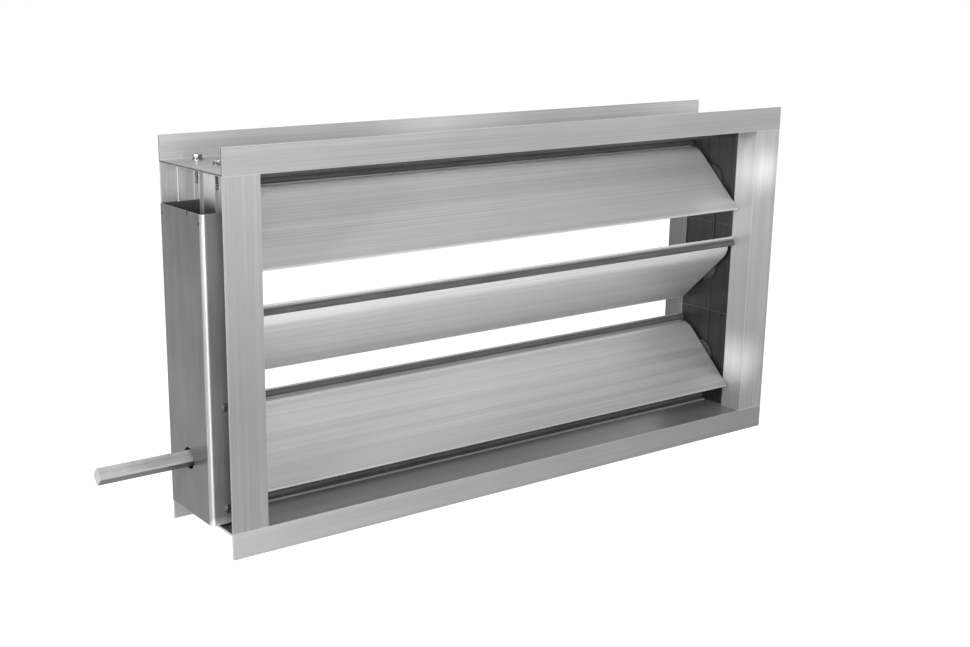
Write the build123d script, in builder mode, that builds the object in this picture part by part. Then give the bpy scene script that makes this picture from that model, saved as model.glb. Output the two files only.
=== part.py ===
from build123d import *
import math
import os

os.makedirs("parts", exist_ok=True)

# Volume control damper with three opposed blades in a duct flange frame.
# X runs across the duct, Y along the air path, Z up. The origin is the centre of the air passage.

# Air passage and frame
duct_width = 600.0
duct_height = 310.0
passage_margin = 5.0
frame_depth = 120.0
side_flange = 35.0
end_flange = 24.0
frame_wall = 2.0
recess_width = 68.0
recess_depth = 2.5
flange_line_place = 19.0
flange_line_size = 0.8

# Screw channels on the outside of each jamb, and the screws driven into them
channel_slack = 0.35
channel_rib = 1.6
channel_height = 5.0
corner_screw_shank = 6.3
corner_screw_head = 9.2
corner_screw_head_height = 4.6
corner_screw_length = 22.0

# Blades: each reaches a little past the middle of the gap to its neighbours when closed
blade_count = 3
blade_end_gap = 2.5
blade_open_angle = 46.0
blade_skin = 1.5
skin_arch = 1.0
skin_bend = 14.0
skin_top_front = 2.0
tip_overlap = 4.0
tip_reach = 12.0
tip_width = 2.0
lip_overlap = 1.5
lip_reach = 11.5
hub_wall = 2.0

# Square shafts and their bushes
shaft_square = 12.0
shaft_chamfer = 1.2
stub_grip = 60.0
drive_grip = 120.0
drive_reach = 97.0
bush_diameter = 22.0
bush_flange_rim = 3.0
bush_flange = 2.0
bush_stand_out = 0.5

# Side seals
side_seal_sheet = 1.2
side_seal_joint = 0.2
side_seal_ridge = 1.0
side_seal_ridge_width = 1.2
side_seal_ridge_offset = 6.5
side_seal_hole_gap = 1.0

# Rubber bulb on each blade and on the sill stop
bulb_radius = 3.1
bulb_offset = 2.4
bulb_drop = 6.5
bulb_end_gap = 0.4

# Head and sill stops
stop_sheet = 1.5
stop_foot = 11.0

# Linkage in the left channel
crank_radius = 20.0
crank_plate = 4.0
crank_hub_radius = 13.0
crank_end_radius = 7.0
crank_gap = 0.5
pin_diameter = 6.0
pin_shoulder_diameter = 10.0
pin_tail = 1.0
bar_plate = 3.0
bar_width = 10.0
bar_gap = 0.3
slot_web = 4.0
clip_diameter = 11.0
clip_plate = 1.2
axle_screw_head = 9.0
axle_screw_head_height = 3.0
axle_screw_shank = 5.0
axle_screw_length = 14.0
bar_over_screw = 1.2

# Linkage cover
cover_step_gap = 2.8
cover_top_drop = 32.5
cover_bottom_gap = 2.0
cover_outside = 45.5
cover_sheet = 1.2
cover_bend = 3.0
cover_floor_bend = 2.4
cover_shaft_gap = 4.0
cover_notch_width = 2.4
cover_notch_depth = 4.0
cover_notch_offset = -14.0
cover_hole = 3.0
cover_hole_inset = 4.7
cover_hole_drop = 8.0
bracket_sheet = 1.5
bracket_height = 14.0
bracket_foot = 18.0
bracket_edge = 4.5
low_bracket_rise = 14.5
high_bracket_rise = 107.0
cover_screw_out = 28.0
cover_screw_shank = 3.5
cover_screw_head = 7.0
cover_screw_head_height = 2.0
cover_screw_length = 8.0

# Small repeated round pieces are drawn with flat sides
screw_sides = 12
pin_sides = 24
bush_sides = 24
screw_head_chamfer = 0.8

# Clearances
slide_fit = 0.05
press_gap = 0.02
soft_gap = 0.3

# Places that follow from the sizes above
half_width = duct_width / 2
half_height = duct_height / 2
half_depth = frame_depth / 2
outer_half_width = half_width + side_flange
outer_half_height = half_height + end_flange
blade_pitch = (duct_height - 2 * passage_margin) / blade_count
blade_half = half_width - blade_end_gap
web_outside = half_width + recess_depth + frame_wall
channel_outside = web_outside + channel_height
cover_width = 2 * (recess_width / 2 + frame_wall + cover_step_gap + cover_sheet)
channel_gap = corner_screw_shank + 2 * channel_slack
channel_offset = cover_width / 2 - cover_sheet + soft_gap + channel_rib + channel_gap / 2
seal_inside = half_width + recess_depth - side_seal_sheet
bush_inside = seal_inside - soft_gap - bush_flange
bush_end = channel_outside + bush_stand_out
crank_inside = bush_end + crank_gap
crank_outside = crank_inside + crank_plate
pin_shoulder = axle_screw_head_height + bar_over_screw
bar_inside = crank_outside + pin_shoulder + bar_gap
bar_outside = bar_inside + bar_plate
clip_inside = bar_outside + bar_gap
clip_outside = clip_inside + clip_plate
pin_end = clip_outside + pin_tail
cover_face = half_width + cover_outside
cover_top = half_height - cover_top_drop
cover_bottom = cover_bottom_gap - half_height
bracket_levels = [cover_bottom + low_bracket_rise, cover_bottom + high_bracket_rise]
blade_names = ["bottom", "middle", "top"]
blade_turns = [-1, 1, -1]
mid_travel = 45.0

# Blade section, measured from the blade's own axis with the blade closed
tip_top = blade_pitch / 2 + tip_overlap
lip_bottom = -blade_pitch / 2 - lip_overlap
skin_top = tip_top - tip_reach
core_bottom = lip_bottom + lip_reach
skin_bend_start = skin_top - skin_bend
skin_front = shaft_square / 2 + hub_wall
skin_back = skin_front + skin_arch
bulb_height = tip_top - bulb_drop


def save(piece, name):
    """Label a finished piece and write it to its own file."""
    piece.part.label = name
    export_step(piece.part, f"parts/{name}.step")


def axis_height(index):
    """Height of a blade's axis, counted from the bottom blade."""
    return (index - (blade_count - 1) / 2) * blade_pitch


def blade_plane(index, x):
    """Plane across a blade's axis at x, turned with the blade; its own Y runs up the closed blade."""
    turn = math.radians(blade_turns[index] * blade_open_angle)
    x_dir = (0, math.cos(turn), math.sin(turn))
    return Plane(origin=(x, 0, axis_height(index)), x_dir=x_dir, z_dir=(1, 0, 0))


def level_plane(x, y=0.0, z=0.0):
    """Upright plane across the duct width at x, seen along +X."""
    return Plane(origin=(x, y, z), x_dir=(0, 1, 0), z_dir=(1, 0, 0))


def crank_direction(index):
    """Direction of a crank arm in its blade's plane: level when the blade is at mid travel."""
    side = -blade_turns[index]
    angle = math.radians(mid_travel)
    return Vector(side * math.cos(angle), math.sin(angle))


# Frame: head and sill run the full width, the jambs stand between them

def build_rail(up):
    """Head (up = 1) or sill (up = -1): a channel with its flanges turned away from the duct."""
    inside = up * half_height
    outside = up * (half_height + frame_wall)
    edge = up * outer_half_height
    with BuildPart() as rail:
        with BuildSketch(level_plane(-outer_half_width)):
            with BuildLine():
                Polyline(
                    (-half_depth, inside), (half_depth, inside),
                    (half_depth, edge), (half_depth - frame_wall, edge),
                    (half_depth - frame_wall, outside), (frame_wall - half_depth, outside),
                    (frame_wall - half_depth, edge), (-half_depth, edge), close=True,
                )
            make_face()
        extrude(amount=2 * outer_half_width)
        with BuildSketch(Plane.XY.offset(outside)):
            with Locations(*[(x, y) for x, y, z in corner_screw_places(up)]):
                RegularPolygon(corner_screw_shank / 2 + slide_fit, screw_sides)
        extrude(amount=-up * frame_wall, mode=Mode.SUBTRACT)
    return rail


def channel_centre(y):
    """Distance of a screw channel's axis from the duct's middle plane."""
    base = web_outside if abs(y) < recess_width / 2 else half_width + frame_wall
    return base + corner_screw_shank / 2 + press_gap


def corner_screw_places(up):
    """Places of the six screws on the outer face of the head or the sill."""
    ys = (-channel_offset, 0.0, channel_offset)
    z = up * (half_height + frame_wall)
    return [(side * channel_centre(y), y, z) for side in (-1, 1) for y in ys]


def build_jamb(side):
    """Left (side = -1) or right (side = 1) jamb, with its recess, screw channels and bush holes."""
    inner = side * half_width
    recess = side * (half_width + recess_depth)
    strip_back = side * (half_width + frame_wall)
    web_back = side * web_outside
    edge = side * outer_half_width
    step_in = recess_width / 2
    step_out = step_in + frame_wall
    with BuildPart() as jamb:
        with BuildSketch(Plane.XY.offset(-half_height)):
            with BuildLine():
                Polyline(
                    (inner, -half_depth), (inner, -step_in), (recess, -step_in),
                    (recess, step_in), (inner, step_in), (inner, half_depth),
                    (edge, half_depth), (edge, half_depth - frame_wall),
                    (strip_back, half_depth - frame_wall), (strip_back, step_out),
                    (web_back, step_out), (web_back, -step_out),
                    (strip_back, -step_out), (strip_back, frame_wall - half_depth),
                    (edge, frame_wall - half_depth), (edge, -half_depth), close=True,
                )
            make_face()
            for y in (-channel_offset, 0.0, channel_offset):
                back = web_back if y == 0.0 else strip_back
                rib_y = (channel_gap + channel_rib) / 2
                with Locations((back + side * channel_height / 2, y - rib_y),
                               (back + side * channel_height / 2, y + rib_y)):
                    Rectangle(channel_height, channel_rib)
            line_x = side * (half_width + flange_line_place)
            with Locations((line_x, half_depth - frame_wall), (line_x, frame_wall - half_depth)):
                Rectangle(flange_line_size, flange_line_size, rotation=45, mode=Mode.SUBTRACT)
        extrude(amount=duct_height)
        for index in range(blade_count):
            with BuildSketch(level_plane(side * half_width, 0, axis_height(index))):
                Circle(bush_diameter / 2 + slide_fit)
            extrude(amount=side * (recess_depth + frame_wall + channel_height), mode=Mode.SUBTRACT)
    return jamb


def build_corner_screws(up):
    """Hexagon-head screws through the head or the sill into the jambs' channels."""
    seat = up * (half_height + frame_wall)
    with BuildPart() as screws:
        with BuildSketch(Plane.XY.offset(seat)):
            with Locations(*[(x, y) for x, y, z in corner_screw_places(up)]):
                RegularPolygon(corner_screw_head / 2, 6)
        extrude(amount=up * corner_screw_head_height)
        tops = screws.faces().group_by(Axis.Z)[-1 if up > 0 else 0]
        chamfer(tops.edges(), screw_head_chamfer)
        with BuildSketch(Plane.XY.offset(seat)):
            with Locations(*[(x, y) for x, y, z in corner_screw_places(up)]):
                RegularPolygon(corner_screw_shank / 2, screw_sides)
        extrude(amount=-up * corner_screw_length)
    return screws


for name, up in (("head_channel", 1), ("sill_channel", -1)):
    save(build_rail(up), name)

for name, side in (("left_jamb", -1), ("right_jamb", 1)):
    save(build_jamb(side), name)

for name, up in (("head_screws", 1), ("sill_screws", -1)):
    save(build_corner_screws(up), name)

# Stops: the head stop stands where the lip of one more blade would be, the sill stop where its tip would be
stop_length = 2 * (half_width - bulb_end_gap)
with BuildPart() as head_stop:
    lip_end = axis_height(blade_count) + lip_bottom
    with BuildSketch(level_plane(-stop_length / 2)):
        with BuildLine():
            Polyline(
                (-skin_front, lip_end), (stop_sheet - skin_front, lip_end),
                (stop_sheet - skin_front, half_height), (-skin_front - stop_foot, half_height),
                (-skin_front - stop_foot, half_height - stop_sheet),
                (-skin_front, half_height - stop_sheet), close=True,
            )
        make_face()
    extrude(amount=stop_length)
save(head_stop, "head_stop")

with BuildPart() as sill_stop:
    upstand_top = axis_height(-1) + tip_top
    foot_top = stop_sheet - half_height
    with BuildSketch(level_plane(-stop_length / 2)):
        with BuildLine():
            Polyline(
                (tip_width - stop_foot, -half_height), (tip_width, -half_height),
                (tip_width, upstand_top), (0, upstand_top), (0, foot_top),
                (tip_width - stop_foot, foot_top), close=True,
            )
        make_face()
    extrude(amount=stop_length)
save(sill_stop, "sill_stop")


def add_bulb(centre_height):
    """Rubber bulb with a flat back, on the face that stands at zero offset."""
    with Locations((-bulb_offset, centre_height)):
        Circle(bulb_radius)
    with Locations((bulb_radius, centre_height)):
        Rectangle(2 * bulb_radius, 4 * bulb_radius, mode=Mode.SUBTRACT)


with BuildPart() as sill_seal:
    with BuildSketch(level_plane(-stop_length / 2)):
        add_bulb(foot_top + bulb_radius)
    extrude(amount=stop_length)
save(sill_seal, "sill_seal")

# Side seals: one sheet for each blade in the jamb's recess, with a wiper ridge and a hole for the bush
for side_name, side in (("left", -1), ("right", 1)):
    for index in range(blade_count):
        low = axis_height(index) - blade_pitch / 2 if index > 0 else -half_height
        high = axis_height(index) + blade_pitch / 2 if index < blade_count - 1 else half_height
        middle = (low + high) / 2
        height = high - low - side_seal_joint
        floor_plane = level_plane(side * (half_width + recess_depth))
        face_plane = level_plane(side * seal_inside)
        with BuildPart() as side_seal:
            with BuildSketch(floor_plane):
                with Locations((0, middle)):
                    Rectangle(recess_width - 2 * side_seal_joint, height)
            extrude(amount=-side * side_seal_sheet)
            with BuildSketch(face_plane):
                with Locations((-side_seal_ridge_offset, middle)):
                    Rectangle(side_seal_ridge_width, height)
                with Locations((0, axis_height(index))):
                    Circle(bush_diameter / 2 + bush_flange_rim + soft_gap, mode=Mode.SUBTRACT)
            extrude(amount=-side * side_seal_ridge)
            with BuildSketch(floor_plane):
                with Locations((0, axis_height(index))):
                    Circle(bush_diameter / 2 + side_seal_hole_gap)
            extrude(amount=-side * side_seal_sheet, mode=Mode.SUBTRACT)
        save(side_seal, f"side_seal_{side_name}_{blade_names[index]}")


# Blades

def build_blade(index):
    """Hollow extruded blade: flat front skin with a lip, arched back skin, square hub and a sealing tip."""
    with BuildPart() as blade:
        with BuildSketch(blade_plane(index, -blade_half)):
            with BuildLine():
                front = Line((-skin_front, core_bottom), (-skin_front, skin_bend_start))
                bend = TangentArc(front @ 1, (-skin_top_front, skin_top), tangent=front % 1)
                cap = Line(bend @ 1, (tip_width, skin_top))
                back = ThreePointArc(cap @ 1, (skin_back, 0), (blade_skin - skin_front, core_bottom))
                Line(back @ 1, front @ 0)
            make_face()
            offset(amount=-blade_skin, mode=Mode.SUBTRACT)
            Rectangle(shaft_square + 2 * hub_wall, shaft_square + 2 * hub_wall)
            Rectangle(shaft_square + 2 * slide_fit, shaft_square + 2 * slide_fit, mode=Mode.SUBTRACT)
            with Locations((blade_skin / 2 - skin_front, (core_bottom + lip_bottom) / 2)):
                Rectangle(blade_skin, core_bottom - lip_bottom)
            with Locations((tip_width / 2, (skin_top + tip_top) / 2)):
                Rectangle(tip_width, tip_top - skin_top)
        extrude(amount=2 * blade_half)
    return blade


def build_blade_seal(index):
    """Rubber bulb along the front of a blade's tip."""
    length = 2 * (half_width - bulb_end_gap)
    with BuildPart() as seal:
        with BuildSketch(blade_plane(index, -length / 2)):
            add_bulb(bulb_height)
        extrude(amount=length)
    return seal


def build_square_bar(index, start, end):
    """Square bar with chamfered corners on a blade's axis, from x = start to x = end."""
    with BuildPart() as bar:
        with BuildSketch(blade_plane(index, start)) as section:
            Rectangle(shaft_square, shaft_square)
            chamfer(section.vertices(), shaft_chamfer)
        extrude(amount=end - start)
    return bar


def build_bush(index, side):
    """Nylon bush: round in the jamb, square on the shaft, with a flange on the duct side."""
    with BuildPart() as bush:
        with BuildSketch(blade_plane(index, side * bush_inside)):
            RegularPolygon(bush_diameter / 2 + bush_flange_rim, bush_sides)
        extrude(amount=side * bush_flange)
        with BuildSketch(blade_plane(index, side * (bush_inside + bush_flange))):
            RegularPolygon(bush_diameter / 2, bush_sides)
        extrude(amount=side * (bush_end - bush_inside - bush_flange))
        with BuildSketch(blade_plane(index, side * bush_inside)):
            Rectangle(shaft_square + 2 * slide_fit, shaft_square + 2 * slide_fit)
        extrude(amount=side * (bush_end - bush_inside), mode=Mode.SUBTRACT)
    return bush


def build_crank(index):
    """Crank arm: a plate clamped on the square shaft, with an eye for the crank pin."""
    eye = crank_direction(index) * crank_radius
    with BuildPart() as crank:
        with BuildSketch(blade_plane(index, -crank_outside)):
            with Locations((0, 0)):
                Circle(crank_hub_radius)
            with Locations((eye.X, eye.Y)):
                Circle(crank_end_radius)
            make_hull()
            Rectangle(shaft_square + 2 * slide_fit, shaft_square + 2 * slide_fit, mode=Mode.SUBTRACT)
            with Locations((eye.X, eye.Y)):
                RegularPolygon(pin_diameter / 2 + press_gap, pin_sides, mode=Mode.SUBTRACT)
        extrude(amount=crank_plate)
    return crank


def build_crank_pin(index):
    """Shouldered pin in the crank's eye, which carries the drive bar."""
    eye = crank_direction(index) * crank_radius
    with BuildPart() as pin:
        with BuildSketch(blade_plane(index, -pin_end)):
            with Locations((eye.X, eye.Y)):
                RegularPolygon(pin_diameter / 2, pin_sides)
        extrude(amount=pin_end - crank_inside)
        with BuildSketch(blade_plane(index, -crank_outside - pin_shoulder)):
            with Locations((eye.X, eye.Y)):
                RegularPolygon(pin_shoulder_diameter / 2, pin_sides)
        extrude(amount=pin_shoulder)
    return pin


def build_pin_clip(index):
    """Retaining ring that keeps the drive bar on a crank pin."""
    eye = crank_direction(index) * crank_radius
    with BuildPart() as clip:
        with BuildSketch(blade_plane(index, -clip_outside)):
            with Locations((eye.X, eye.Y)):
                RegularPolygon(clip_diameter / 2, pin_sides)
                RegularPolygon(pin_diameter / 2 + press_gap, pin_sides, mode=Mode.SUBTRACT)
        extrude(amount=clip_plate)
    return clip


def build_crank_shaft(index):
    """Short square shaft of an idle blade, drilled at its end for the screw that holds the crank on."""
    with BuildPart() as shaft:
        with BuildSketch(blade_plane(index, -crank_outside)) as section:
            Rectangle(shaft_square, shaft_square)
            chamfer(section.vertices(), shaft_chamfer)
        extrude(amount=crank_outside - blade_half + stub_grip)
        with BuildSketch(blade_plane(index, -crank_outside)):
            Circle(axle_screw_shank / 2 + press_gap)
        extrude(amount=axle_screw_length + crank_plate, mode=Mode.SUBTRACT)
    return shaft


def build_axle_screw(index):
    """Screw in the end of an idle shaft, which holds the crank on."""
    with BuildPart() as screw:
        with BuildSketch(blade_plane(index, -crank_outside)):
            RegularPolygon(axle_screw_head / 2, 6)
        extrude(amount=-axle_screw_head_height)
        chamfer(screw.faces().sort_by(Axis.X)[0].edges(), screw_head_chamfer)
        with BuildSketch(blade_plane(index, -crank_outside)):
            RegularPolygon(axle_screw_shank / 2, screw_sides)
        extrude(amount=axle_screw_length)
    return screw


for index, name in enumerate(blade_names):
    save(build_blade(index), f"blade_{name}")
    save(build_blade_seal(index), f"blade_seal_{name}")
    save(build_bush(index, -1), f"bush_left_{name}")
    save(build_bush(index, 1), f"bush_right_{name}")
    save(build_square_bar(index, blade_half - stub_grip, bush_end), f"idle_stub_{name}")
    save(build_crank(index), f"crank_{name}")
    save(build_crank_pin(index), f"crank_pin_{name}")
    save(build_pin_clip(index), f"pin_clip_{name}")
    if index > 0:
        save(build_crank_shaft(index), f"crank_shaft_{name}")
        save(build_axle_screw(index), f"axle_screw_{name}")

save(build_square_bar(0, -outer_half_width - drive_reach, drive_grip - blade_half), "drive_shaft")

# Drive bar: links the outer cranks, and drives the middle crank through a slotted arm
lift = crank_radius * math.sin(math.radians(mid_travel - blade_open_angle))
reach = crank_radius * math.cos(math.radians(mid_travel - blade_open_angle))
slot_near = 2 * crank_radius * math.cos(math.radians(mid_travel))
slot_far = 2 * crank_radius
slot_width = pin_diameter + 2 * slide_fit
arm_length = slot_far + pin_diameter / 2 + slide_fit + slot_web
arm_height = slot_width + 2 * slot_web
with BuildPart() as drive_bar:
    bar_bottom = axis_height(0) + lift
    bar_top = axis_height(blade_count - 1) + lift
    with BuildSketch(level_plane(-bar_outside)):
        with Locations((reach, (bar_bottom + bar_top) / 2)):
            SlotCenterToCenter(bar_top - bar_bottom, bar_width, rotation=90)
        with Locations((reach - arm_length / 2, axis_height(1) + lift)):
            Rectangle(arm_length, arm_height)
        with Locations((reach, bar_bottom), (reach, bar_top)):
            Circle(pin_diameter / 2 + slide_fit, mode=Mode.SUBTRACT)
        with Locations((reach - (slot_near + slot_far) / 2, axis_height(1) + lift)):
            SlotCenterToCenter(slot_far - slot_near, slot_width, mode=Mode.SUBTRACT)
    extrude(amount=bar_plate)
save(drive_bar, "drive_bar")

# Linkage cover: one folded sheet, open at the top, which stands on the screw channels' inner ribs
cover_edge = -(half_width + frame_wall + channel_height + soft_gap)
floor_edge = -(channel_centre(0.0) + corner_screw_shank / 2 + soft_gap)


def build_cover_block(inset, top):
    """Solid with the cover's outline, drawn in by inset from its outer faces."""
    face = inset - cover_face
    wall = cover_width / 2 - inset
    with BuildPart() as block:
        with BuildSketch(Plane.XY.offset(cover_bottom + inset)):
            with BuildLine():
                FilletPolyline((cover_edge, wall), (face, wall), (face, -wall), (cover_edge, -wall),
                               radius=cover_bend - inset)
                Line((cover_edge, -wall), (cover_edge, wall))
            make_face()
        extrude(amount=top - cover_bottom - inset)
        floor_rim = block.faces().sort_by(Axis.Z)[0].edges().sort_by(Axis.X)[:-1]
        fillet(floor_rim, cover_floor_bend - inset)
    return block


cover_outline = build_cover_block(0.0, cover_top)
cover_space = build_cover_block(cover_sheet, cover_top + cover_sheet)
with BuildPart() as linkage_cover:
    add(cover_outline.part)
    add(cover_space.part, mode=Mode.SUBTRACT)
    with BuildSketch(Plane.XY.offset(cover_bottom)):
        with Locations(((cover_edge + floor_edge) / 2, 0)):
            Rectangle(cover_edge - floor_edge, cover_width - 2 * cover_floor_bend)
    extrude(amount=cover_sheet, mode=Mode.SUBTRACT)
    with BuildSketch(level_plane(-cover_face, 0, axis_height(0))):
        Circle(shaft_square / 2 + cover_shaft_gap)
    extrude(amount=cover_sheet, mode=Mode.SUBTRACT)
    with BuildSketch(level_plane(-cover_face, 0, cover_top)):
        with Locations((cover_notch_offset, 0)):
            Rectangle(cover_notch_width, 2 * cover_notch_depth)
        with Locations((cover_hole_inset - cover_width / 2, -cover_hole_drop),
                       (cover_width / 2 - cover_hole_inset, -cover_hole_drop)):
            Circle(cover_hole / 2)
    extrude(amount=cover_sheet, mode=Mode.SUBTRACT)
    for level in bracket_levels:
        with BuildSketch(Plane(origin=(-half_width - cover_screw_out, -cover_width / 2, level),
                               x_dir=(1, 0, 0), z_dir=(0, 1, 0))):
            Circle(cover_screw_shank / 2 + slide_fit)
        extrude(amount=cover_width, mode=Mode.SUBTRACT)
save(linkage_cover, "linkage_cover")


def build_brackets(side):
    """Angle brackets on the jamb, which the cover's front (side = -1) or rear wall is screwed to."""
    wall = side * (cover_width / 2 - cover_sheet)
    foot_end = wall - side * bracket_foot
    tip = -half_width - cover_screw_out - bracket_edge
    with BuildPart() as brackets:
        for level in bracket_levels:
            with BuildSketch(Plane.XY.offset(level - bracket_height / 2)):
                with BuildLine():
                    Polyline(
                        (-web_outside, wall), (-web_outside, foot_end),
                        (-web_outside - bracket_sheet, foot_end),
                        (-web_outside - bracket_sheet, wall - side * bracket_sheet),
                        (tip, wall - side * bracket_sheet), (tip, wall), close=True,
                    )
                make_face()
            extrude(amount=bracket_height)
            with BuildSketch(Plane(origin=(-half_width - cover_screw_out, wall, level),
                                   x_dir=(1, 0, 0), z_dir=(0, -side, 0))):
                RegularPolygon(cover_screw_shank / 2 + slide_fit, screw_sides)
            extrude(amount=bracket_sheet, mode=Mode.SUBTRACT)
    return brackets


def build_cover_screws(side):
    """Screws through the cover's front (side = -1) or rear wall into its brackets."""
    seat = side * cover_width / 2
    with BuildPart() as screws:
        for level in bracket_levels:
            with BuildSketch(Plane(origin=(-half_width - cover_screw_out, seat, level),
                                   x_dir=(1, 0, 0), z_dir=(0, side, 0))):
                RegularPolygon(cover_screw_head / 2, screw_sides)
            extrude(amount=cover_screw_head_height)
        tops = screws.faces().group_by(Axis.Y)[0 if side < 0 else -1]
        chamfer(tops.edges(), screw_head_chamfer)
        for level in bracket_levels:
            with BuildSketch(Plane(origin=(-half_width - cover_screw_out, seat, level),
                                   x_dir=(1, 0, 0), z_dir=(0, side, 0))):
                RegularPolygon(cover_screw_shank / 2, screw_sides)
            extrude(amount=-cover_screw_length)
    return screws


for wall_name, side in (("front", -1), ("rear", 1)):
    save(build_brackets(side), f"cover_brackets_{wall_name}")
    save(build_cover_screws(side), f"cover_screws_{wall_name}")
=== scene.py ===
import math
import bpy
from mathutils import Matrix, Vector


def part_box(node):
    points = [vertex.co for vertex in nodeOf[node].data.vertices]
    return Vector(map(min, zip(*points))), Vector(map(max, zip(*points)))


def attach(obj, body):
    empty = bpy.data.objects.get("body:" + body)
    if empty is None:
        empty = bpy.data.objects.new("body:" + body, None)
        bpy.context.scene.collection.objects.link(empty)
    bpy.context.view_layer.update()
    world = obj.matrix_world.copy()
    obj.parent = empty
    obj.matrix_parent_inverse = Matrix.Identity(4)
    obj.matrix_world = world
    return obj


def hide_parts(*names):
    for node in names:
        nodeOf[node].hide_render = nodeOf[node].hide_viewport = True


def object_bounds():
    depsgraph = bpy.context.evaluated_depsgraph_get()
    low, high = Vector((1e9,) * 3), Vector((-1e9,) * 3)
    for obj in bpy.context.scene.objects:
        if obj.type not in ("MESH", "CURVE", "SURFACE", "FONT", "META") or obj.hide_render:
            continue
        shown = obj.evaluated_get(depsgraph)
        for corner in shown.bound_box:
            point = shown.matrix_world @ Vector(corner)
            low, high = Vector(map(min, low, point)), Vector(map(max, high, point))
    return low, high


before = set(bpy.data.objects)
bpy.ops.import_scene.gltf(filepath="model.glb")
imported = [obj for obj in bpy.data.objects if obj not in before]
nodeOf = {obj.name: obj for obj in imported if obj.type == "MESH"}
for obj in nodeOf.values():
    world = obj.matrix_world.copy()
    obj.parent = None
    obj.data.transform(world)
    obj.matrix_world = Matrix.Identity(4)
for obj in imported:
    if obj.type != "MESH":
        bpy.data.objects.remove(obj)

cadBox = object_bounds()
bladeNames = ["bottom", "middle", "top"]
bpy.ops.object.select_all(action="DESELECT")
print("frame loaded:", len(nodeOf), "nodes")


# Camera: a standing view from the linkage side, slightly above the head channel
view = {
    "place": (-0.8354, -1.0384, 0.3034),
    "yaw": 33.96,       # degrees to the right of the air path
    "pitch": 14.45,     # degrees below level
    "roll": -0.07,
    "lens": 50.285,     # mm on a 36 mm wide sensor
    "shift": (0.1029, 0.0133),
}


def addCamera():
    lensData = bpy.data.cameras.new("studioCamera")
    lensData.sensor_width = 36.0
    lensData.lens = view["lens"]
    lensData.shift_x, lensData.shift_y = view["shift"]
    lensData.clip_start = 0.01
    camera = bpy.data.objects.new("studioCamera", lensData)
    bpy.context.scene.collection.objects.link(camera)
    turn = (
        Matrix.Rotation(math.radians(-view["yaw"]), 3, "Z")
        @ Matrix.Rotation(math.radians(90.0 - view["pitch"]), 3, "X")
        @ Matrix.Rotation(math.radians(view["roll"]), 3, "Z")
    )
    camera.rotation_euler = turn.to_euler()
    camera.location = view["place"]
    bpy.context.scene.camera = camera


addCamera()
bpy.context.scene.view_settings.view_transform = "Standard"
print("camera placed")


# Studio: white floor, white surround, two upright lamps and a soft one overhead
studio = {
    "floorSize": 60.0,
    "floorDrop": 0.0002,        # the floor lies this far under the sill flanges
    "floorColour": (0.8, 0.8, 0.8, 1.0),
    "floorGlow": 0.68,          # as the eye sees it
    "floorSheen": 0.25,         # as metal shows it
    "surroundLight": 0.6,
    "lamps": [
        # name, place, what it points at, width and height, power in watts
        ("sideLamp", (-1.96, -0.50, 0.55), (-0.30, 0.0, 0.0), (0.34, 0.44), 26.0),
        ("frontLamp", (-1.05, -2.15, 0.38), (-0.10, 0.0, 0.0), (1.10, 1.05), 30.0),
        ("topLamp", (-0.2, -0.8, 2.4), (0.0, 0.0, 0.0), (1.8, 1.8), 5.0),
    ],
}


def rayKinds(nodes, links, kinds):
    path = nodes.new("ShaderNodeLightPath")
    total = path.outputs[kinds[0]]
    for kind in kinds[1:]:
        either = nodes.new("ShaderNodeMath")
        either.operation = "MAXIMUM"
        links.new(total, either.inputs[0])
        links.new(path.outputs[kind], either.inputs[1])
        total = either.outputs[0]
    return total


def multiplied(nodes, links, first, second):
    product = nodes.new("ShaderNodeMath")
    product.operation = "MULTIPLY"
    links.new(first, product.inputs[0])
    if isinstance(second, float):
        product.inputs[1].default_value = second
    else:
        links.new(second, product.inputs[1])
    return product.outputs[0]


def addSurround():
    world = bpy.data.worlds.new("studioSurround")
    bpy.context.scene.world = world
    world.use_nodes = True
    nodes, links = world.node_tree.nodes, world.node_tree.links
    nodes.clear()
    output = nodes.new("ShaderNodeOutputWorld")
    lighting = nodes.new("ShaderNodeBackground")
    lighting.inputs["Strength"].default_value = studio["surroundLight"]
    backdrop = nodes.new("ShaderNodeBackground")
    backdrop.inputs["Color"].default_value = (1.0, 1.0, 1.0, 1.0)
    backdrop.inputs["Strength"].default_value = 1.0
    choice = nodes.new("ShaderNodeMixShader")
    seen = rayKinds(nodes, links, ["Is Camera Ray", "Is Glossy Ray", "Is Transmission Ray"])
    links.new(seen, choice.inputs["Fac"])
    links.new(lighting.outputs[0], choice.inputs[1])
    links.new(backdrop.outputs[0], choice.inputs[2])
    links.new(choice.outputs[0], output.inputs["Surface"])


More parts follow.
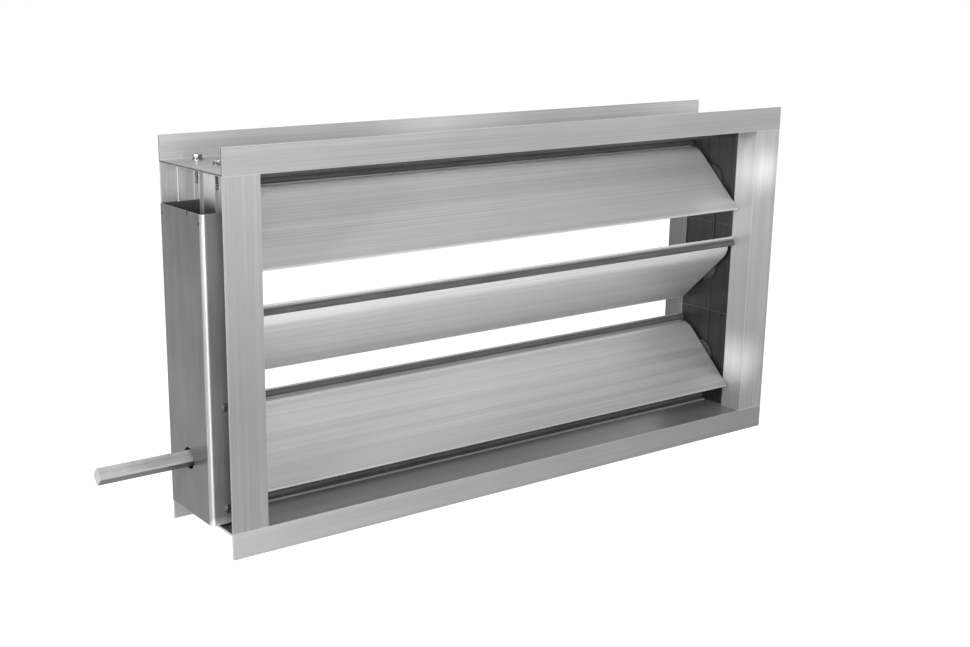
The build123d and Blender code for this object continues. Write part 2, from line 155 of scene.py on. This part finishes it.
def addFloor():
    low = cadBox[0]
    bpy.ops.mesh.primitive_plane_add(size=studio["floorSize"], location=(0, 0, low.z - studio["floorDrop"]))
    floor = bpy.context.object
    floor.name = "studioFloor"
    paint = bpy.data.materials.new("floorPaint")
    paint.use_nodes = True
    nodes, links = paint.node_tree.nodes, paint.node_tree.links
    nodes.clear()
    output = nodes.new("ShaderNodeOutputMaterial")
    matt = nodes.new("ShaderNodeBsdfDiffuse")
    matt.inputs["Color"].default_value = studio["floorColour"]
    glow = nodes.new("ShaderNodeEmission")
    direct = multiplied(nodes, links, rayKinds(nodes, links, ["Is Camera Ray"]), studio["floorGlow"])
    mirrored = rayKinds(nodes, links, ["Is Glossy Ray", "Is Transmission Ray"])
    mirrored = multiplied(nodes, links, mirrored, studio["floorSheen"])
    strength = nodes.new("ShaderNodeMath")
    links.new(direct, strength.inputs[0])
    links.new(mirrored, strength.inputs[1])
    links.new(strength.outputs[0], glow.inputs["Strength"])
    both = nodes.new("ShaderNodeAddShader")
    links.new(matt.outputs[0], both.inputs[0])
    links.new(glow.outputs[0], both.inputs[1])
    links.new(both.outputs[0], output.inputs["Surface"])
    floor.data.materials.append(paint)


def addLamps():
    for name, place, target, size, power in studio["lamps"]:
        lampData = bpy.data.lights.new(name, "AREA")
        lampData.shape = "RECTANGLE"
        lampData.size, lampData.size_y = size
        lampData.energy = power
        lamp = bpy.data.objects.new(name, lampData)
        bpy.context.scene.collection.objects.link(lamp)
        lamp.location = place
        aim = Vector(target) - Vector(place)
        lamp.rotation_euler = aim.to_track_quat("-Z", "Y").to_euler()


addSurround()
addFloor()
addLamps()
print("studio lit")


# Finishes, in metres on the object as it stands at rest
acrossX, alongY, upZ = (1.0, 0.0, 0.0), (0.0, 1.0, 0.0), (0.0, 0.0, 1.0)
diagonal = math.sqrt(0.5)
frontBendWay = (-diagonal, -diagonal, 0.0)      # out of the cover's long front bend
floorBendWay = (0.0, -diagonal, -diagonal)      # out of its bottom front bend
noiseMiddle = (0.35, 0.65)      # the part of a noise that is stretched to a full range
edgeTurn = (0.98, 0.80)         # how far a normal leans where an edge starts and is full
paintedShadeSoftness = 0.15
paintedShadeSpan = (0.0, 0.3)           # the painted shade runs from its left to its right tone over this part of X
halfDuct = 0.30                 # half the width of the air passage


def newFinish(name):
    finish = bpy.data.materials.new(name)
    finish.use_nodes = True
    nodes, links = finish.node_tree.nodes, finish.node_tree.links
    nodes.clear()
    output = nodes.new("ShaderNodeOutputMaterial")
    shader = nodes.new("ShaderNodeBsdfPrincipled")
    links.new(shader.outputs["BSDF"], output.inputs["Surface"])
    return finish, nodes, links, shader


def noiseOn(nodes, links, stretch, detail=2.0):
    coords = nodes.new("ShaderNodeTexCoord")
    place = nodes.new("ShaderNodeMapping")
    place.inputs["Scale"].default_value = stretch
    noise = nodes.new("ShaderNodeTexNoise")
    noise.inputs["Scale"].default_value = 1.0
    noise.inputs["Detail"].default_value = detail
    links.new(coords.outputs["Object"], place.inputs["Vector"])
    links.new(place.outputs["Vector"], noise.inputs["Vector"])
    return noise.outputs["Fac"]


def spread(nodes, links, source, fromLow, fromHigh, toLow, toHigh):
    ramp = nodes.new("ShaderNodeMapRange")
    ramp.inputs["From Min"].default_value = fromLow
    ramp.inputs["From Max"].default_value = fromHigh
    ramp.inputs["To Min"].default_value = toLow
    ramp.inputs["To Max"].default_value = toHigh
    links.new(source, ramp.inputs["Value"])
    return ramp.outputs["Result"]


def mixed(nodes, links, factor, first, second, mode="MIX"):
    mix = nodes.new("ShaderNodeMix")
    mix.data_type = "RGBA"
    mix.blend_type = mode
    if isinstance(factor, float):
        mix.inputs[0].default_value = factor
    else:
        links.new(factor, mix.inputs[0])
    for socket, value in ((mix.inputs[6], first), (mix.inputs[7], second)):
        if isinstance(value, tuple):
            socket.default_value = value
        else:
            links.new(value, socket)
    return mix.outputs[2]


def grey(level, warmth=0.0):
    return (level * (1 + warmth), level, level * (1 - warmth), 1.0)


# painted highlight: mask of edges and corners, where the tone is lightened to the look's edge grey
def edgeHighlightMask(nodes, links, radius):
    rounded = nodes.new("ShaderNodeBevel")
    rounded.samples = 6
    rounded.inputs["Radius"].default_value = radius
    surface = nodes.new("ShaderNodeNewGeometry")
    likeness = nodes.new("ShaderNodeVectorMath")
    likeness.operation = "DOT_PRODUCT"
    links.new(rounded.outputs["Normal"], likeness.inputs[0])
    links.new(surface.outputs["Normal"], likeness.inputs[1])
    return spread(nodes, links, likeness.outputs["Value"], *edgeTurn, 0.0, 1.0)


def toneAlong(nodes, links, direction, start, end, toneStart, toneEnd):
    # tone that changes steadily along one direction of the object
    coords = nodes.new("ShaderNodeTexCoord")
    reach = nodes.new("ShaderNodeVectorMath")
    reach.operation = "DOT_PRODUCT"
    reach.inputs[1].default_value = direction
    links.new(coords.outputs["Object"], reach.inputs[0])
    return spread(nodes, links, reach.outputs["Value"], start, end, toneStart, toneEnd)


def paintedGlareSpot(nodes, links, centre, radius, gain):
    # painted highlight: a soft bright spot around one point
    coords = nodes.new("ShaderNodeTexCoord")
    away = nodes.new("ShaderNodeVectorMath")
    away.operation = "DISTANCE"
    away.inputs[1].default_value = centre
    links.new(coords.outputs["Object"], away.inputs[0])
    spot = spread(nodes, links, away.outputs["Value"], 0.0, radius, gain, 1.0)
    spot.node.interpolation_type = "SMOOTHSTEP"
    return spot


def paintedShadeOnFacing(nodes, links, tone, paintedShade):
    # painted shade on the faces that look one way; "below" and "within" keep it to one level and a strip of
    # Y
    surface = nodes.new("ShaderNodeNewGeometry")
    facing = nodes.new("ShaderNodeVectorMath")
    facing.operation = "DOT_PRODUCT"
    facing.inputs[1].default_value = paintedShade["faces"]
    links.new(surface.outputs["Normal"], facing.inputs[0])
    mask = spread(nodes, links, facing.outputs["Value"], paintedShade["from"], paintedShade["from"] + paintedShadeSoftness, 0.0, 1.0)
    if "below" in paintedShade:
        mask = multiplied(nodes, links, mask, toneAlong(nodes, links, upZ, *paintedShade["below"], 1.0, 0.0))
        for side in (-1.0, 1.0):
            inside = toneAlong(nodes, links, (0.0, side, 0.0), *paintedShade["within"], 1.0, 0.0)
            mask = multiplied(nodes, links, mask, inside)
    level = toneAlong(nodes, links, acrossX, *paintedShadeSpan, paintedShade["left"], paintedShade["right"])
    return mixed(nodes, links, mask, tone, level)


def rolledMetal(name, look):
    finish, nodes, links, shader = newFinish(name)
    along, across = look["grainAlong"], look["grainAcross"]
    stretch = [across, across, across]
    stretch["XYZ".index(look["axis"])] = along
    broad = [value / look["broadRatio"] for value in stretch]
    lines = noiseOn(nodes, links, stretch, 3.0)
    bands = noiseOn(nodes, links, broad, 2.0)
    clouds = noiseOn(nodes, links, (look["clouds"],) * 3, 2.0)
    lineTone = spread(nodes, links, lines, 0.3, 0.7, 0.0, 1.0)
    darkTone, lightTone = grey(look["dark"], look["warmth"]), grey(look["light"], look["warmth"])
    tone = mixed(nodes, links, lineTone, darkTone, lightTone)
    bandTone = spread(nodes, links, bands, *noiseMiddle, 1.0 - look["bandDepth"], 1.0)
    tone = mixed(nodes, links, 1.0, tone, bandTone, "MULTIPLY")
    cloudTone = spread(nodes, links, clouds, *noiseMiddle, 1.0 - look["cloudDepth"], 1.0)
    tone = mixed(nodes, links, 1.0, tone, cloudTone, "MULTIPLY")
    # painted light and shade: tone ramps along directions of the object
    for fade in look["paintedLightFades"]:
        tone = mixed(nodes, links, 1.0, tone, toneAlong(nodes, links, *fade), "MULTIPLY")
    # painted highlights: tone raised in soft spots
    for spot in look["paintedGlareSpots"]:
        tone = mixed(nodes, links, 1.0, tone, paintedGlareSpot(nodes, links, *spot), "MULTIPLY")
    # painted shade on the faces that look one way
    if look["paintedShade"]:
        tone = paintedShadeOnFacing(nodes, links, tone, look["paintedShade"])
    # painted highlight: edges and corners lightened to the edge grey
    edge = edgeHighlightMask(nodes, links, look["edgeRadius"])
    tone = mixed(nodes, links, edge, tone, grey(look["edge"]))
    links.new(tone, shader.inputs["Base Color"])
    shader.inputs["Metallic"].default_value = look["metallic"]
    sheen = spread(nodes, links, bands, *noiseMiddle, *look["rough"])
    links.new(sheen, shader.inputs["Roughness"])
    bump = nodes.new("ShaderNodeBump")
    bump.inputs["Strength"].default_value = look["bump"]
    bump.inputs["Distance"].default_value = look["depth"]
    links.new(lines, bump.inputs["Height"])
    links.new(bump.outputs["Normal"], shader.inputs["Normal"])
    return finish


# each fade paints light and shade along one direction: direction, start, end, tone at the start, tone at the
# end
# each spot is a painted highlight: centre, radius, gain at the centre
# edge is the grey of the painted highlight on edges and corners, edgeRadius its width
extruded = {
    "axis": "X", "grainAlong": 3.0, "grainAcross": 900.0, "broadRatio": 9.0, "clouds": 6.0,
    "dark": 0.46, "light": 0.56, "warmth": 0.002, "edge": 0.85, "edgeRadius": 0.0006,
    "bandDepth": 0.10, "cloudDepth": 0.08, "metallic": 0.5, "rough": (0.34, 0.44),
    "bump": 0.25, "depth": 0.0001, "paintedLightFades": [], "paintedGlareSpots": [], "paintedShade": None,
}
# head: painted shade toward the left, painted light toward the rear, a painted highlight near its rear top,
# and painted shade on faces looking to -X
headLook = dict(
    extruded, paintedLightFades=[(acrossX, -halfDuct, halfDuct, 0.84, 0.94), (alongY, 0.040, 0.057, 1.0, 1.4)],
    paintedGlareSpots=[((-0.03, 0.058, 0.168), 0.13, 1.30)],
    paintedShade={"faces": (-1.0, 0.0, 0.0), "from": 0.8, "left": 0.10, "right": 0.10},
)
# sill: painted shade growing toward the right, and painted shade on its upward faces
sillLook = dict(
    extruded, paintedLightFades=[(acrossX, -halfDuct, halfDuct, 0.88, 0.58)],
    paintedShade={"faces": upZ, "from": 0.8, "left": 0.125, "right": 0.26},
)
# left jamb: painted shade toward the bottom and toward the front, and a painted shadow on the web's outward
# faces inside the linkage cover
leftLook = dict(
    extruded, axis="Z", edge=0.55,
    paintedLightFades=[(upZ, -0.05, 0.155, 0.70, 1.0), (alongY, -0.055, -0.036, 0.86, 1.22)],
    paintedShade={
        "faces": (-1.0, 0.0, 0.0), "from": 0.8, "left": 0.10, "right": 0.10,
        "below": (0.116, 0.127), "within": (0.036, 0.038),
    },
)
# right jamb: painted shade toward the bottom and toward the rear, and painted highlight spots on the front
# flange and the inner strip
rightLook = dict(
    extruded, axis="Z",
    paintedLightFades=[(upZ, -0.155, 0.155, 0.70, 1.12), (alongY, -0.034, 0.034, 1.0, 0.48)],
    paintedGlareSpots=[
        ((0.318, -0.060, 0.113), 0.034, 1.55),
        ((0.300, -0.048, -0.100), 0.042, 2.2),
        ((0.300, -0.045, 0.112), 0.050, 1.45),
    ],
)
# stops: the frame aluminium made darker, painted shade for their place under the blade edges
shadedStopLook = dict(extruded, dark=0.34, light=0.44)
# side seals: dark steel, with painted light growing toward the top
sealSheet = dict(
    extruded, axis="Z", dark=0.045, light=0.065, warmth=-0.03, edge=0.25, edgeRadius=0.0004,
    metallic=0.6, rough=(0.26, 0.38), bandDepth=0.15, paintedLightFades=[(upZ, 0.04, 0.13, 0.8, 1.7)],
)
# cover sheet: painted light on the front wall, painted highlights on the long front bend with a painted
# darker line down its middle, and a painted highlight on the bottom front bend
galvanised = dict(
    extruded, axis="Z", grainAlong=14.0, grainAcross=120.0, dark=0.132, light=0.163, warmth=-0.01,
    edge=0.45, edgeRadius=0.0005, metallic=0.6, rough=(0.22, 0.28), cloudDepth=0.14, clouds=22.0,
    bandDepth=0.08, bump=0.12, paintedLightFades=[
        (alongY, -0.0399, -0.0380, 2.25, 1.0),
        (frontBendWay, 0.2696, 0.2706, 1.0, 2.5),
        (frontBendWay, 0.27105, 0.27125, 1.0, 0.62),
        (floorBendWay, 0.1300, 0.1362, 1.0, 2.6),
    ],
)
# shafts: painted shade on their downward faces
drawnSteel = dict(
    extruded, dark=0.44, light=0.56, warmth=0.012, edge=0.75, edgeRadius=0.0004, rough=(0.26, 0.38),
    clouds=60.0, cloudDepth=0.15, paintedShade={"faces": (0.0, 0.0, -1.0), "from": 0.5, "left": 0.12, "right": 0.12},
)
platedSteel = dict(
    extruded, grainAlong=200.0, grainAcross=200.0, dark=0.26, light=0.36, warmth=0.015, edge=0.6,
    edgeRadius=0.0003, metallic=0.9, rough=(0.16, 0.26), clouds=150.0, cloudDepth=0.2, bump=0.1,
)

# Blades: one finish for each, with painted light and shade measured up the blade's own face from its lip to
# its shoulder
bladeFace = {
    "dark": 0.56, "light": 0.69, "rough": (0.30, 0.40), "cloudDepth": 0.06,
    "lip": -0.0515, "shoulder": 0.042,
    "openAngle": {"bottom": -46.0, "middle": 46.0, "top": -46.0},
    "axisHeight": {"bottom": -0.1, "middle": 0.0, "top": 0.1},
    "paintedUpShading": {"bottom": (0.62, 1.18), "middle": (1.02, 1.38), "top": (1.00, 1.95)},
    "paintedRightShading": 0.80, "lipHighlightWidth": 0.0022, "lipHighlightGain": 1.6,
}


def bladeFinish(blade):
    turn = math.radians(bladeFace["openAngle"][blade])
    up = (0.0, -math.sin(turn), math.cos(turn))
    base = bladeFace["axisHeight"][blade] * up[2]
    low, high = base + bladeFace["lip"], base + bladeFace["shoulder"]
    look = dict(
        extruded, dark=bladeFace["dark"], light=bladeFace["light"], rough=bladeFace["rough"],
        cloudDepth=bladeFace["cloudDepth"],
        # painted light and shade up the face, painted shade toward the right end, and a painted highlight
        # line along the lip
        paintedLightFades=[
            (up, low, high, *bladeFace["paintedUpShading"][blade]),
            (acrossX, -halfDuct, halfDuct, 1.0, bladeFace["paintedRightShading"]),
            (up, low, low + bladeFace["lipHighlightWidth"], bladeFace["lipHighlightGain"], 1.0),
        ],
    )
    return rolledMetal("bladeAluminium_" + blade, look)


def mouldedFinish(name, look):
    finish, nodes, links, shader = newFinish(name)
    fine = noiseOn(nodes, links, (look["grain"],) * 3, 3.0)
    clouds = noiseOn(nodes, links, look["clouds"], 2.0)
    tone = spread(nodes, links, clouds, *noiseMiddle, 0.0, 1.0)
    colour = mixed(nodes, links, tone, grey(look["dark"]), grey(look["light"]))
    links.new(colour, shader.inputs["Base Color"])
    shader.inputs["Roughness"].default_value = look["rough"]
    bump = nodes.new("ShaderNodeBump")
    bump.inputs["Strength"].default_value = look["bump"]
    bump.inputs["Distance"].default_value = look["depth"]
    links.new(fine, bump.inputs["Height"])
    links.new(bump.outputs["Normal"], shader.inputs["Normal"])
    return finish


rubber = {
    "grain": 1500.0, "clouds": (20.0, 300.0, 300.0), "dark": 0.055, "light": 0.09,
    "rough": 0.45, "bump": 0.2, "depth": 0.0001,
}
nylon = {
    "grain": 900.0, "clouds": (80.0, 80.0, 80.0), "dark": 0.03, "light": 0.05,
    "rough": 0.45, "bump": 0.15, "depth": 0.0001,
}

finishes = {
    "head": rolledMetal("headAluminium", headLook),
    "sill": rolledMetal("sillAluminium", sillLook),
    "leftJamb": rolledMetal("leftJambAluminium", leftLook),
    "rightJamb": rolledMetal("rightJambAluminium", rightLook),
    "stop": rolledMetal("stopAluminiumShaded", shadedStopLook),
    "sideSeal": rolledMetal("sideSealSteel", sealSheet),
    "cover": rolledMetal("coverSheet", galvanised),
    "shaft": rolledMetal("shaftMetal", drawnSteel),
    "plated": rolledMetal("platedSteel", platedSteel),
    "rubber": mouldedFinish("sealRubber", rubber),
    "nylon": mouldedFinish("bushNylon", nylon),
}
for blade in bladeNames:
    finishes["blade_" + blade] = bladeFinish(blade)

# The first start that fits a node's name gives its finish
finishByStart = [
    ("head_channel", "head"), ("sill_channel", "sill"),
    ("left_jamb", "leftJamb"), ("right_jamb", "rightJamb"),
    ("head_stop", "stop"), ("sill_stop", "stop"), ("sill_seal", "rubber"), ("blade_seal", "rubber"),
    ("blade_bottom", "blade_bottom"), ("blade_middle", "blade_middle"), ("blade_top", "blade_top"),
    ("side_seal", "sideSeal"), ("linkage_cover", "cover"),
    ("drive_shaft", "shaft"), ("crank_shaft", "shaft"),
    ("idle_stub", "shaft"), ("bush", "nylon"), ("", "plated"),
]


def dressNodes():
    for name, node in nodeOf.items():
        choice = next(key for start, key in finishByStart if name.startswith(start))
        node.data.materials.clear()
        node.data.materials.append(finishes[choice])


dressNodes()
print("nodes dressed")


# Screws: hexagon washer heads with a dished top, and a rolled thread below
screw = {
    "sides": 24, "bevelSegments": 2, "smoothAngle": 35.0, "threadStep": 0.0011,
    "threadNarrow": 0.84,       # every second ring of the thread is this much narrower
    # shares of the head's radius
    "washer": 1.12, "dish": 0.55, "crown": 0.16, "dishWall": 0.06, "bevel": 0.10,
    # shares of the head's height
    "washerHeight": 0.16, "crownRise": 0.02, "dishDepth": 0.12,
    "sameHead": 0.012,          # points nearer than this belong to one screw
    "seatDepth": 0.00005,       # points this near to the outermost one count as its top
    "spinStep": 0.7,            # each screw stands a little further round than the last, in radians
}
cornerScrew = {"headRadius": 0.0046, "headHeight": 0.0046, "shankRadius": 0.00315, "shankLength": 0.022}
coverScrew = {"headRadius": 0.0035, "headHeight": 0.0020, "shankRadius": 0.00175, "shankLength": 0.008}


def selectFaces(piece, test):
    bpy.ops.object.mode_set(mode="OBJECT")
    for part in (piece.data.vertices, piece.data.edges, piece.data.polygons):
        for item in part:
            item.select = False
    for face in piece.data.polygons:
        face.select = test(face)
    bpy.ops.object.mode_set(mode="EDIT")
    bpy.ops.mesh.select_mode(type="FACE")


def makeScrew(name, headRadius, headHeight, shankRadius, shankLength):
    # stands on z = 0 with its head up
    bpy.ops.object.select_all(action="DESELECT")
    washerHeight = headHeight * screw["washerHeight"]
    bpy.ops.mesh.primitive_cylinder_add(
        vertices=screw["sides"], radius=headRadius * screw["washer"], depth=washerHeight,
        location=(0, 0, washerHeight / 2))
    shank = bpy.context.object
    bpy.ops.object.transform_apply(location=True)
    selectFaces(shank, lambda face: face.normal.z < -0.5)
    bpy.ops.mesh.inset(thickness=headRadius * screw["washer"] - shankRadius)
    turns = int(shankLength / screw["threadStep"])
    for turn in range(turns):
        factor = screw["threadNarrow"] if turn % 2 == 0 else 1.0 / screw["threadNarrow"]
        bpy.ops.mesh.extrude_region_move(TRANSFORM_OT_translate={"value": (0, 0, -screw["threadStep"])})
        bpy.ops.transform.resize(value=(factor, factor, 1.0))
    bpy.ops.object.mode_set(mode="OBJECT")
    bpy.ops.object.select_all(action="DESELECT")
    bpy.ops.mesh.primitive_cylinder_add(
        vertices=6, radius=headRadius, depth=headHeight - washerHeight,
        location=(0, 0, (headHeight + washerHeight) / 2))
    head = bpy.context.object
    bpy.ops.object.transform_apply(location=True)
    selectFaces(head, lambda face: face.normal.z > 0.5)
    bpy.ops.mesh.inset(thickness=headRadius * screw["crown"])
    bpy.ops.transform.translate(value=(0, 0, headHeight * screw["crownRise"]))
    bpy.ops.mesh.inset(thickness=headRadius * (1 - screw["dish"] - screw["crown"]))
    bpy.ops.mesh.inset(thickness=headRadius * screw["dishWall"])
    bpy.ops.transform.translate(value=(0, 0, -headHeight * screw["dishDepth"]))
    bpy.ops.object.mode_set(mode="OBJECT")
    softer = head.modifiers.new("edges", "BEVEL")
    softer.width = headRadius * screw["bevel"]
    softer.segments = screw["bevelSegments"]
    softer.limit_method = "ANGLE"
    bpy.ops.object.modifier_apply(modifier="edges")
    shank.select_set(True)
    bpy.ops.object.join()
    head.name = name
    bpy.ops.object.shade_smooth_by_angle(angle=math.radians(screw["smoothAngle"]))
    return head


def headPlaces(nodeName, axis, side):
    # centres of the screw heads' tops in a node: its outermost points, grouped by screw
    node = nodeOf[nodeName]
    reach = max(side * vertex.co[axis] for vertex in node.data.vertices)
    groups = []
    for vertex in node.data.vertices:
        if side * vertex.co[axis] < reach - screw["seatDepth"]:
            continue
        for group in groups:
            if (group[0] - vertex.co).length < screw["sameHead"]:
                group.append(vertex.co.copy())
                break
        else:
            groups.append([vertex.co.copy()])
    return [sum(group, Vector()) / len(group) for group in groups]


def screwSet(name, nodeName, axis, side, kind):
    master = makeScrew(name + "Master", **kind)
    direction = Vector()
    direction[axis] = side
    turn = direction.to_track_quat("Z", "Y").to_matrix().to_4x4()
    copies = []
    for place in headPlaces(nodeName, axis, side):
        copy = master.copy()
        copy.data = master.data.copy()
        bpy.context.scene.collection.objects.link(copy)
        spin = Matrix.Rotation(len(copies) * screw["spinStep"], 4, "Z")
        copy.data.transform(Matrix.Translation(place - direction * kind["headHeight"]) @ turn @ spin)
        copies.append(copy)
    bpy.data.objects.remove(master)
    bpy.ops.object.select_all(action="DESELECT")
    for copy in copies:
        copy.select_set(True)
    bpy.context.view_layer.objects.active = copies[0]
    bpy.ops.object.join()
    pieces = bpy.context.object
    pieces.name = name
    pieces.data.materials.append(finishes["plated"])
    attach(pieces, "frame")
    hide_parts(nodeName)


screwSet("headScrewSet", "head_screws", 2, 1, cornerScrew)
screwSet("sillScrewSet", "sill_screws", 2, -1, cornerScrew)
screwSet("coverScrewSetFront", "cover_screws_front", 1, -1, coverScrew)
screwSet("coverScrewSetRear", "cover_screws_rear", 1, 1, coverScrew)
print("screws made")


# Rubber wiper on the front of the head stop
wiper = {
    "thickness": 0.0014, "below": 0.0035, "above": 0.0050, "lipBulge": 0.0006,
    "frontFace": -0.0080,       # Y of the head stop's front face
    "edge": 0.2,                # inset and rounding, as a share of the thickness
    "bevelSegments": 2, "smoothAngle": 40.0,
}


def addHeadWiper():
    low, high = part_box("head_stop")
    bpy.ops.object.select_all(action="DESELECT")
    height = wiper["below"] + wiper["above"]
    edge = wiper["thickness"] * wiper["edge"]
    bulge = wiper["lipBulge"]
    middle = (
        (low[0] + high[0]) / 2, wiper["frontFace"] - wiper["thickness"] / 2,
        low[2] + (wiper["above"] - wiper["below"]) / 2,
    )
    bpy.ops.mesh.primitive_cube_add(size=1.0, location=middle)
    strip = bpy.context.object
    strip.name = "headWiper"
    strip.scale = (high[0] - low[0], wiper["thickness"], height)
    bpy.ops.object.transform_apply(location=True, scale=True)
    selectFaces(strip, lambda face: face.normal.z < -0.5)
    bpy.ops.mesh.inset(thickness=edge)
    bpy.ops.mesh.extrude_region_move(TRANSFORM_OT_translate={"value": (0, -bulge, -bulge)})
    bpy.ops.object.mode_set(mode="OBJECT")
    soft = strip.modifiers.new("edges", "BEVEL")
    soft.width = edge
    soft.segments = wiper["bevelSegments"]
    bpy.ops.object.modifier_apply(modifier="edges")
    bpy.ops.object.shade_smooth_by_angle(angle=math.radians(wiper["smoothAngle"]))
    strip.data.materials.append(finishes["rubber"])
    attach(strip, "frame")


addHeadWiper()
print("head wiper made")
